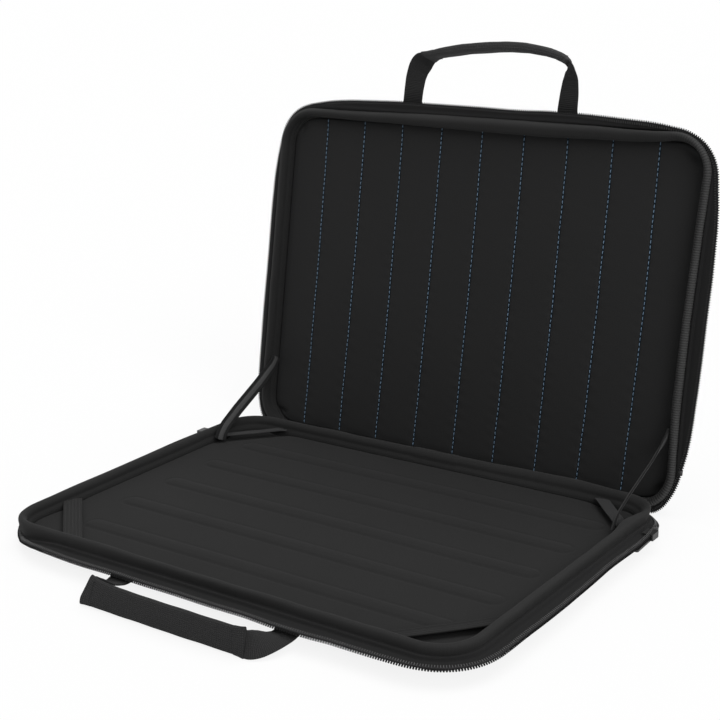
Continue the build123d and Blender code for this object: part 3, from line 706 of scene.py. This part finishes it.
def build_stitches():
    """Blue quilting stitches, one bent capsule each, over a dark-blue strip along each seam that
    paints the shade of its groove.
    """
    sides = 6
    verts, faces = [], []
    rings = np.linspace(-0.5, 0.5, 6)
    girth = np.array([0.5, 0.95, 1.0, 1.0, 0.95, 0.5]) * 0.34
    for k, c in enumerate(SEAMS):
        for y in np.arange(-STITCH_RUN, STITCH_RUN, STITCH_PITCH):
            x = c + seam_wobble(np.array([y]), k)[0]
            y = y + 0.25 * math.sin(y * 1.7 + k)
            z = 9.42 + 0.62 + lid_swell(x, y)
            lean = 0.06 * math.sin(y * 0.9 + k * 2)
            faces += tube_faces(len(rings), sides, len(verts))
            for r, g in zip(rings, girth):
                for a in TURN * np.arange(sides) / sides:
                    verts.append((x + lean * r * STITCH_LENGTH + g * math.cos(a),
                                  y + r * STITCH_LENGTH, z - 1.7 * r * r + g * math.sin(a)))
    obj = make_object("lid_quilting_stitches", to_world(verts, "lid"), faces, M_THREAD)
    put(obj, "lid")
    # dark-blue strip along each seam: painted shade of the seam's groove, tinted with the thread's
    # blue
    y = np.arange(-STITCH_RUN, STITCH_RUN + 0.1, 2.0)
    verts, faces = [], []
    for k, c in enumerate(SEAMS):
        x = c + seam_wobble(y, k)
        z = 9.66 + lid_swell(x, y)
        faces += [np.array((0, 1, 3, 2)) + len(verts) + 2 * i for i in range(len(y) - 1)]
        verts += [(xk + aside, yk, zk) for xk, yk, zk in zip(x, y, z) for aside in (-0.75, 0.75)]
    obj = make_object("lid_seam_painted_shade", to_world(verts, "lid"), faces, M_SEAM_SHADE)
    put(obj, "lid")


# ---------------------------------------------------------------- straps and spine
SPINE_HALF = 166  # half the width of the fabric hinge
RIM_INNER = 3.9  # from the crest to the rim's inner side, where the corner straps are sewn in
# name, side, end, reach along x and y, height, tip in radians, width, node
ELASTIC_STRAPS = (
    ("elastic_front_left", -1, -1, 67.5, 65.2, 14.5, 0.12, 14.4, "base_corner_strap_front_left"),
    ("elastic_front_right", 1, -1, 60.5, 68.1, 14.5, 0.12, 13.6, "base_corner_strap_front_right"))
PLAIN_STRAPS = (
    ("strap_rear_left", -1, 1, 44.9, 47.9, 15.0, -0.10, 10.4, "base_corner_strap_rear_left"),
    ("strap_rear_right", 1, 1, 44.9, 47.9, 15.0, -0.10, 10.4, "base_corner_strap_rear_right"))
# the right-hand stay's middle line, base end first
STAY_LINE = [
    (188.0, 89.8, 13.2), (188.1, 92.6, 18.6), (188.3, 98.5, 24.2), (189.0, 116.4, 33.6),
    (190.5, 149.0, 48.3), (191.4, 171.0, 60.2), (191.7, 175.5, 64.0), (191.8, 177.0, 67.0)]
STAY_TILT, STAY_TILT_LID = 35.0, 8.0  # degrees that the stay's face leans over, base and lid end


def ribbon(name, centres, widths, normals, outline, material, half):
    """Sweep a closed outline (across, thick) along centres with given width and normal directions."""
    grid = centres[:, None] + widths[:, None] * outline[..., :1] + normals[:, None] * outline[..., 1:]
    return grid_object(name, grid, material, half)


def flat_outline(width, thick, edge=0.5, count=9, crown=0.0):
    """Closed outline of a woven strap with rounded selvedges."""
    h, t = width / 2, thick / 2
    xs = np.linspace(-h + edge, h - edge, count)
    bends = np.radians((45, 90, 135))
    top = [(x, t + crown * (1 - (x / h) ** 2)) for x in xs]
    right = [(h - edge + edge * math.sin(a), t * math.cos(a)) for a in bends]
    low = [(x, -t) for x in xs[::-1]]
    return np.array(top + right + low + [(-x, -y) for x, y in right])


def build_corner_strap(name, side, end, leg_x, leg_y, height, tip, wide, node, elastic):
    """Strap across a corner; tip raises the edge next to the corner."""
    a = np.array([side * (HALF_W - RIM_INNER), end * (HALF_D - leg_y)])
    b = np.array([side * (HALF_W - leg_x), end * (HALF_D - RIM_INNER)])
    t = np.linspace(-0.03, 1.03, 60)
    sewn = (1 - np.clip(np.minimum(t, 1 - t) / 0.10, 0, 1)) ** 2
    z = height - 0.5 * np.sin(np.clip(t, 0, 1) * math.pi) - 0.8 * sewn
    along = (b - a) / np.linalg.norm(b - a)
    across = np.array([-along[1], along[0]])
    across *= np.sign(across @ np.array([side, end]))
    widths = np.tile(np.append(across * math.cos(tip), math.sin(tip)), (len(t), 1))
    normals = np.cross(widths, np.append(along, 0.0))
    normals *= np.sign(normals[:, 2:3])
    outline = flat_outline(wide, 1.1, count=37)
    if elastic:  # cords woven lengthways
        top = outline[:, 1] > 0.3
        x = outline[top, 0]
        outline[top, 1] += 0.22 * (np.cos(TURN * x / 2.2) + 0.5 * np.cos(TURN * x / 5.3 + 1) - 0.3)
    obj = ribbon(name, np.column_stack([a + (b - a) * t[:, None], z]), widths, normals, outline,
                 M_STRAP if elastic else M_TAB, "base")
    put(obj, "base", [node])


def build_stay(side):
    """Folding stay between the two rims: a flat tape with a ribbed cord along its face."""
    tag = "left" if side < 0 else "right"
    rows = np.array(STAY_LINE) * (side, 1, 1)
    d = lengths(rows)

    def lay(name, step, material, outline_at):
        t = np.arange(0, d[-1], step)
        centres = curve_3d(t, d, rows, 2.5)
        along = units(np.gradient(centres, axis=0))
        inward = square_to(np.tile([-side, 0, 0.0], (len(t), 1)), along)
        over = np.cross(along, inward)
        over *= np.sign(over[:, 2:3])
        eased = smooth(d[-1] - 34, d[-1] - 4, t)
        turn = np.radians(STAY_TILT - (STAY_TILT - STAY_TILT_LID) * eased)[:, None]
        normals = inward * np.cos(turn) + over * np.sin(turn)
        obj = ribbon(f"{name}_{tag}", centres, np.cross(normals, along), normals, outline_at(t),
                     material, "base")
        if name == "stay_tape":
            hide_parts(f"stay_strap_{tag}")
        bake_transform(obj)

    def ribs(t):
        q = np.linspace(0, TURN, 20, endpoint=False)
        x = 2.6 * np.cos(q)[None] + np.zeros((len(t), 1))
        swell = 0.5 + 0.5 * np.cos(TURN * (t[:, None] + side * x * 0.55) / 1.75)
        return np.stack([x, (0.62 + 0.42 * swell) * np.sin(q)[None]], axis=-1)

    lay("stay_tape", 1.5, M_STAY, lambda t: flat_outline(10.0, 1.0))
    # the ribbed cord, whose lighter colour is a painted highlight
    lay("stay_rib_painted_highlight", 0.25, M_STAY_RIB_PAINTED_HIGHLIGHT, ribs)


def build_spine():
    """Fabric hinge: a soft sheet sewn to both rear rims, with a few slack wrinkles."""
    base_side = [(0, HALF_D + 2.2, 13.2), (0, HALF_D + 2.5, 8.0), (0, 148.2, 3.6), (0, 153.5, 1.5),
                 (0, 159.0, 1.3)]
    lid_side = to_world([(0, HALF_D + 2.5, 17.0), (0, HALF_D + 2.4, 13.0)], "lid") / MM
    route = np.vstack([base_side, lid_side])
    d = lengths(route)
    t = np.linspace(0, d[-1], 26)
    yz = curve_3d(t, d, route[:, 1:], 1.6)
    yz[0], yz[-1] = route[0, 1:], route[-1, 1:]
    x = np.linspace(-SPINE_HALF, SPINE_HALF, 167)
    tangent = units(np.gradient(yz, axis=0))
    fold = ripple(x, 91, (47, 71, 29), 0.5)[:, None] * np.sin(np.clip(t / d[-1], 0, 1) * math.pi)
    rows = []
    for offset in (0.35, -0.35):
        y = yz[:, 0] - tangent[:, 1] * (fold + offset)
        z = np.maximum(yz[:, 1] + tangent[:, 0] * (fold + offset), 0.35)
        rows.append(np.stack([np.broadcast_to(x[:, None], y.shape), y, z], axis=-1))
    grid = np.concatenate([rows[0], rows[1][:, ::-1]], axis=1)
    obj = grid_object("spine_cloth", grid, M_COVER, "base")
    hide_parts("hinge_spine")
    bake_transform(obj)


# ---------------------------------------------------------------- handles
# rows: across, reach, height, turn on edge in degrees
BASE_STRAP = [
    (73.5, 1.9, 8.2, 0), (76.5, 6, 7.4, 0), (78.8, 11, 7.0, 0), (79.3, 17, 6.8, 3),
    (78.6, 24, 7.4, 12), (77.2, 31, 8.4, 30), (75.0, 37, 8.8, 50), (71.5, 41.0, 8.9, 70),
    (66, 42.4, 9.3, 84), (58, 42.7, 9.8, 90), (40, 42.9, 10.2, 90), (0, 43.1, 10.4, 90),
    (-40, 42.7, 10.4, 90), (-60, 42.0, 10.6, 88), (-68.0, 41.0, 11.2, 78), (-71.6, 37.5, 11.2, 64),
    (-71.0, 31, 9.8, 42), (-69.3, 23, 7.9, 14), (-69.0, 15, 7.1, 2), (-70.2, 9, 7.2, 0),
    (-72.0, 5, 7.7, 0), (-73.5, 1.9, 8.2, 0)]
BASE_GRIP = [
    (69.6, 42.0, 10.1, 86), (66, 42.4, 10.2, 88), (58, 42.7, 10.3, 90), (40, 42.9, 10.4, 90),
    (0, 43.1, 10.4, 90), (-40, 42.7, 10.4, 88), (-58, 42.0, 10.5, 80), (-66, 41.4, 10.7, 74),
    (-73.4, 40.7, 10.8, 68)]
LID_STRAP = [
    (73.5, 1.9, 8.0, 0), (73.9, 14, 8.6, 0), (73.2, 24, 9.2, 2), (71.8, 34, 9.9, 8),
    (69.2, 41.5, 10.5, 18), (64.8, 47.6, 10.9, 45), (59.5, 51.0, 11, 75), (52, 53.3, 11, 90),
    (44.6, 54.9, 11, 90), (23.5, 58.3, 11, 90), (-2.8, 60.5, 11, 90), (-16.5, 61.1, 11, 90),
    (-32.8, 60.7, 11, 90), (-51.2, 58.2, 11, 90), (-62.4, 55.2, 11, 88), (-69.2, 51.6, 10.9, 74),
    (-72.6, 46.5, 10.6, 48), (-73.8, 37, 10.0, 24), (-73.6, 26, 9.3, 12), (-73.0, 14, 8.6, 6),
    (-73.5, 1.9, 8.0, 0)]
LID_GRIP = [
    (60.5, 50.5, 11, 74), (56, 52.2, 11, 86), (52, 53.3, 11, 90), (44.6, 54.9, 11, 90),
    (23.5, 58.3, 11, 90), (-2.8, 60.5, 11, 90), (-16.5, 61.1, 11, 90), (-32.8, 60.7, 11, 90),
    (-51.2, 58.2, 11, 90), (-62.4, 55.2, 11, 88), (-69.2, 51.8, 10.9, 78), (-71.4, 49.0, 10.7, 68)]
HEM = 8.5  # from the sleeve's ends to its stitches


def handle_frame(rows, outer_up):
    """Distances, points, width directions and normals along a handle path."""
    rows = np.array(rows, float)
    d = lengths(rows[:, :3])
    t = np.linspace(0, d[-1], int(d[-1] / 0.6))
    near = np.clip(np.minimum(t, d[-1] - t) / 6, 0, 1)[:, None]
    exact = np.column_stack([np.interp(t, d, column) for column in rows.T])
    x, reach, z, turn = (exact * (1 - near) + curve_3d(t, d, rows, 2.4) * near).T
    local = np.column_stack([x, -HALF_D - reach, z])
    tangent = units(np.gradient(local, axis=0))
    up = np.array([0, 0, 1.0])
    angle = np.radians(turn if outer_up else -turn)[:, None]
    widths = square_to(units(np.cross(up, tangent)) * np.cos(angle) + up * np.sin(angle), tangent)
    return t, local, widths, np.cross(tangent, widths)


def build_handle(half, strap_rows, grip_rows, outer_up, slant, tall, thick_middle, thick_end):
    """Webbing strap and the fabric sleeve wrapped round its grip, with turned-in, sewn ends."""
    body = f"{half}_handle"
    _, local, widths, normals = handle_frame(strap_rows, outer_up)
    obj = ribbon(f"{half}_handle_strap", local, widths, normals,
                 flat_outline(18.6, 1.6, 0.7, 13, 0.1), M_WEB, half)
    put(obj, body, [f"{half}_handle_webbing"])

    d, local, widths, normals = handle_frame(grip_rows, outer_up)
    arc = np.linspace(0, d[-1], 250)
    near_b = arc[-1] - arc
    near = np.minimum(arc, near_b)
    q = np.linspace(0, TURN, 44, endpoint=False)
    across = np.sign(np.cos(q)) * np.abs(np.cos(q)) ** 0.40
    through = np.sign(np.sin(q)) * np.abs(np.sin(q)) ** 0.75
    half_tall = tall + 1.3 * np.exp(-near / 4.5) + ripple(arc, 71, (31, 53), 0.2)
    half_thick = thick_middle - (thick_middle - thick_end) * np.exp(-near / 11.0)
    half_thick = half_thick + ripple(arc, 72, (23, 41), 0.12) * np.clip(near / 20, 0, 1)
    hem = 0.35 * (smooth(0, 1.0, near) - smooth(8.0, 9.0, near))
    lean = slant * np.exp(-near_b / 12.0)
    high = np.sign(widths[len(widths) // 2, 2])
    drop = np.clip(-(high * across) - 0.55, 0, 1)
    station = arc[:, None] + lean[:, None] * (high * across) * (half_tall / 10.0)[:, None]
    station = station + drop * (1.5 * np.exp(-arc / 8.0) - 4.0 * np.exp(-near_b / 10.0))[:, None]

    def at(values, where):
        return np.stack([np.interp(where, d, column) for column in values.T], axis=-1)

    def point_at(where):
        """Grip's middle line, carried on straight past its ends."""
        first, last = units(np.array([local[1] - local[0], local[-1] - local[-2]]))
        return (at(local, where) + first * np.minimum(where, 0)[..., None]
                + last * np.maximum(where - d[-1], 0)[..., None])

    middle = point_at(station)
    crease = ripple(arc, 74, (3.1, 4.7), 0.10) * np.exp(-near / 14.0)
    grid = (middle + at(widths, station) * ((half_tall + hem * 0.4)[:, None] * across)[..., None]
            + at(normals, station) * ((half_thick + hem + crease)[:, None] * through)[..., None])
    mouths = [(middle[k] + (grid[k] - middle[k]) * 0.86)[None] for k in (0, -1)]
    grid = np.concatenate([mouths[0], grid, mouths[1]])
    put(grid_object(f"{half}_handle_grip", grid, M_SLEEVE[half], half), body,
        [f"{half}_handle_sleeve"])

    verts, faces = [], []
    for distance in (arc, near_b):
        row = int(np.argmin(np.abs(distance - HEM)))
        for sign in (1, -1):
            for level in np.arange(-tall + 2.2, tall - 2.0, 2.6):
                where = np.array(arc[row] + lean[row] * high * level / 10.0)
                w, n = at(widths, where), at(normals, where)
                p = point_at(where) + w * level + n * sign * (half_thick[row] + 0.15)
                side = np.cross(w, n)
                faces += tube_faces(4, 5, len(verts), caps=False)
                for r, g in ((-0.9, 0.12), (-0.5, 0.24), (0.5, 0.24), (0.9, 0.12)):
                    for a in TURN * np.arange(5) / 5:
                        verts.append(p + w * r + side * g * math.cos(a) + n * g * math.sin(a))
    put(make_object(f"{half}_grip_seam", to_world(verts, half), faces, M_SEAM), body)


# ---------------------------------------------------------------- build all
for half in ("base", "lid"):
    build_binding(half)
    build_zip(half)
    build_cover(half)
pad_object("base_ribbed_pad", "base", base_surface, M_BASE_PAD, "base_pad")
pad_object("lid_quilted_pad", "lid", lid_surface, M_LID_PAD, "lid_pad")
build_stitches()
for strap in ELASTIC_STRAPS:
    build_corner_strap(*strap, True)
for strap in PLAIN_STRAPS:
    build_corner_strap(*strap, False)
for side in (-1, 1):
    build_stay(side)
build_spine()
build_handle("base", BASE_STRAP, BASE_GRIP, False, -3.4, 9.9, 3.1, 1.8)
build_handle("lid", LID_STRAP, LID_GRIP, True, 0.0, 9.6, 3.9, 1.8)

for node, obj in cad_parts.items():
    obj.data.materials.clear()
    obj.data.materials.append(M_FOAM if node.endswith("shell") else M_METAL)

# ---------------------------------------------------------------- floor, light, camera
FLOOR_HALF, FLOOR_DROP = 40.0, 0.0004
FLOOR_GLOW = 0.86  # share of plain white in the floor that the camera sees
WORLD_LIGHT = 0.32  # the world's strength on the object; 1 in the background
CAMERA_AT = Vector((631.33, -822.87, 448.08)) * MM
YAW, PITCH, ROLL = (math.radians(a) for a in (36.11, 16.68, -1.68))
FOCAL, FRAME_WIDTH, SENSOR = 1485.19, 720, 36.0  # pixels, pixels, millimetres


def seen_directly(tree):
    """1 for camera, glossy and transmission rays."""
    paths = shader_node(tree, "LightPath", {}).outputs
    value = paths["Is Camera Ray"]
    for other in ("Is Glossy Ray", "Is Transmission Ray"):
        value = shader_node(tree, "Math", {0: value, 1: paths[other]}, operation="MAXIMUM").outputs[0]
    return value


def sun(name, direction, strength, angle):
    data = bpy.data.lights.new(name, "SUN")
    data.energy, data.angle = strength, math.radians(angle)
    link_object(name, data).rotation_euler = Vector(direction).to_track_quat("-Z", "Y").to_euler()


white, tree, plain = principled("floor_white", {"Base Color": (0.94, 0.94, 0.94, 1), "Roughness": 1.0,
                                                "Specular IOR Level": 0.0})
share = shader_node(tree, "Math", {0: seen_directly(tree), 1: FLOOR_GLOW}, operation="MULTIPLY")
glow = shader_node(tree, "Emission", {"Color": (1, 1, 1, 1)})
mix = shader_node(tree, "MixShader", {0: share.outputs[0], 1: plain.outputs[0], 2: glow.outputs[0]})
fill(tree, tree.nodes["Material Output"], {"Surface": mix.outputs[0]})
corners = [(x * FLOOR_HALF, y * FLOOR_HALF, -FLOOR_DROP)
           for x, y in ((-1, -1), (1, -1), (1, 1), (-1, 1))]
floor = make_object("floor", corners, [(0, 1, 2, 3)], white, smooth_faces=False)

world = bpy.data.worlds.new("studio")
bpy.context.scene.world = world
world.use_nodes = True
tree = world.node_tree
strength = shader_node(tree, "MapRange", {"To Min": WORLD_LIGHT, "To Max": 1.0,
                                          "Value": seen_directly(tree)})
fill(tree, tree.nodes["Background"], {"Color": (1, 1, 1, 1), "Strength": strength.outputs["Result"]})
sun("overhead", (-0.12, -0.20, -1.0), 1.60, 60)
sun("right_front", (-0.80, 0.50, -0.60), 1.30, 35)

ahead = Vector((-math.sin(YAW), math.cos(YAW), 0))
forward = ahead * math.cos(PITCH) - Vector((0, 0, math.sin(PITCH)))
level = Vector((math.cos(YAW), math.sin(YAW), 0))
upright = level.cross(forward)
right = math.cos(ROLL) * level + math.sin(ROLL) * upright
up = -math.sin(ROLL) * level + math.cos(ROLL) * upright
optics = bpy.data.cameras.new("camera")
optics.sensor_fit = "HORIZONTAL"
optics.sensor_width = SENSOR
optics.lens = FOCAL / FRAME_WIDTH * SENSOR
optics.clip_start, optics.clip_end = 0.05, 30.0
camera = link_object("camera", optics)
turned = Matrix((right, up, -forward)).transposed().to_4x4()
camera.matrix_world = Matrix.Translation(CAMERA_AT) @ turned
bpy.context.scene.camera = camera
bpy.context.scene.view_settings.view_transform = "Standard"
